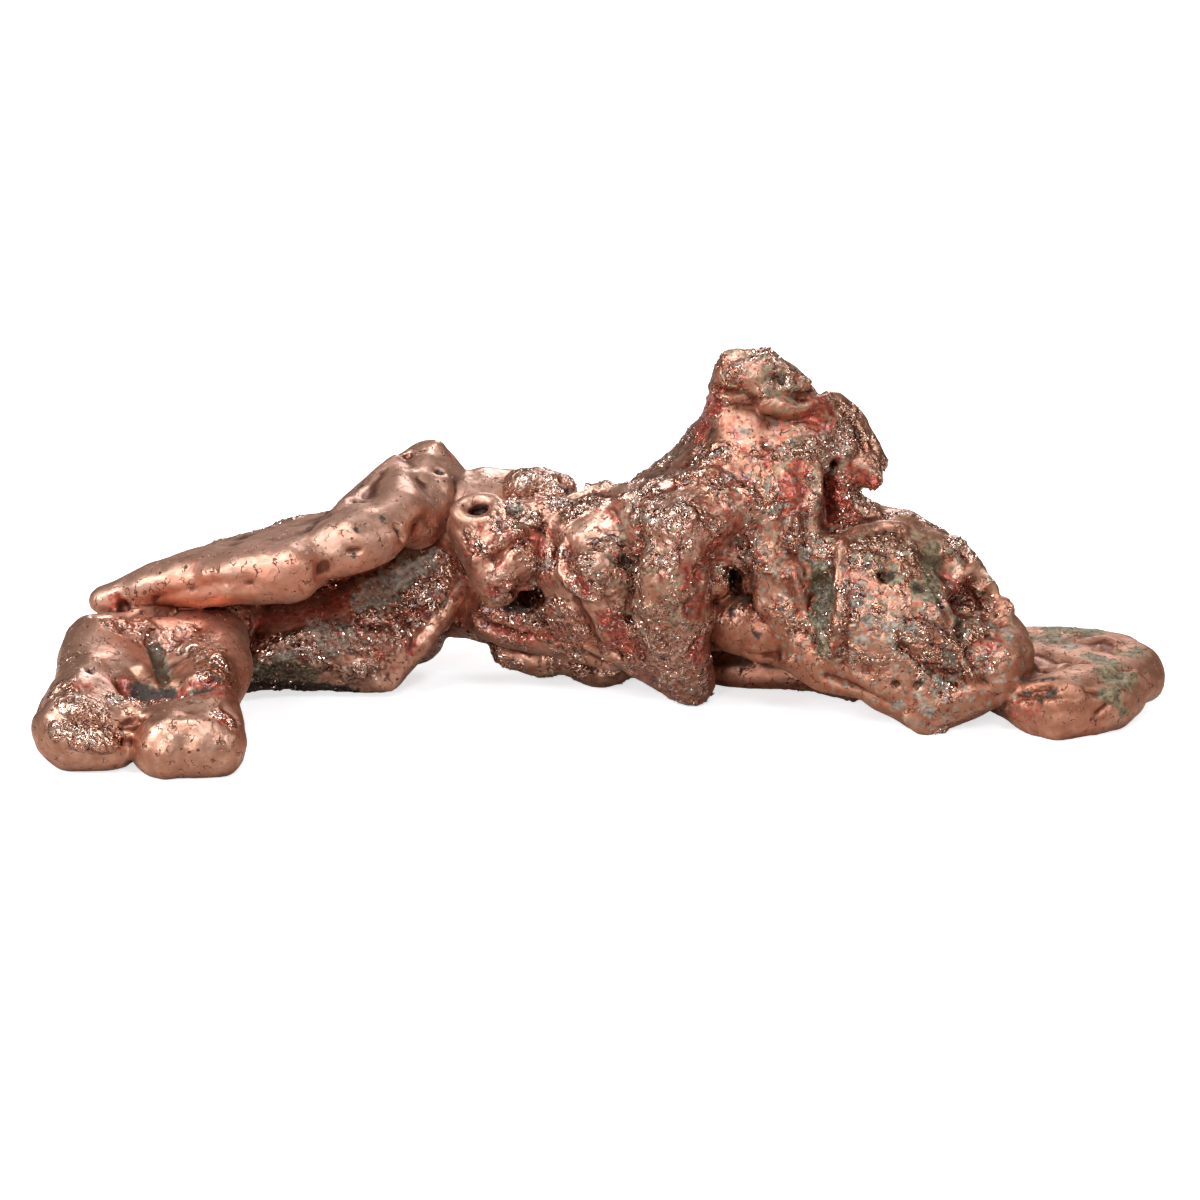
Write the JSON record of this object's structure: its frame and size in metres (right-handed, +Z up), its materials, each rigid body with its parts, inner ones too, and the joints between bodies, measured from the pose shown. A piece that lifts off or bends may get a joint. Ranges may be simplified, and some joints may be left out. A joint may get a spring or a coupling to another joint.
{
  "type": "native copper nugget",
  "caption": "Natural nugget of native copper: a low arched mass of folded lobes and tongues under a curled crest, smooth at its feet and hackly in its middle, lying on its low spots.",
  "frame": {"origin": "on the surface the nugget lies on, under the middle of its length and depth", "axes": "+X along the nugget from the dished front foot to the smooth right foot, +Y towards its back, +Z up"},
  "size_m": [0.112, 0.0482, 0.0365],
  "materials": {
    "native_copper": "native copper metal, satin on the smooth feet and bright and hackly on the body, with red cuprite, green malachite and grey mineral grains in the hollows"
  },
  "bodies": {
    "root": {"copper_nugget": "native_copper"}
  },
  "joints": []
}
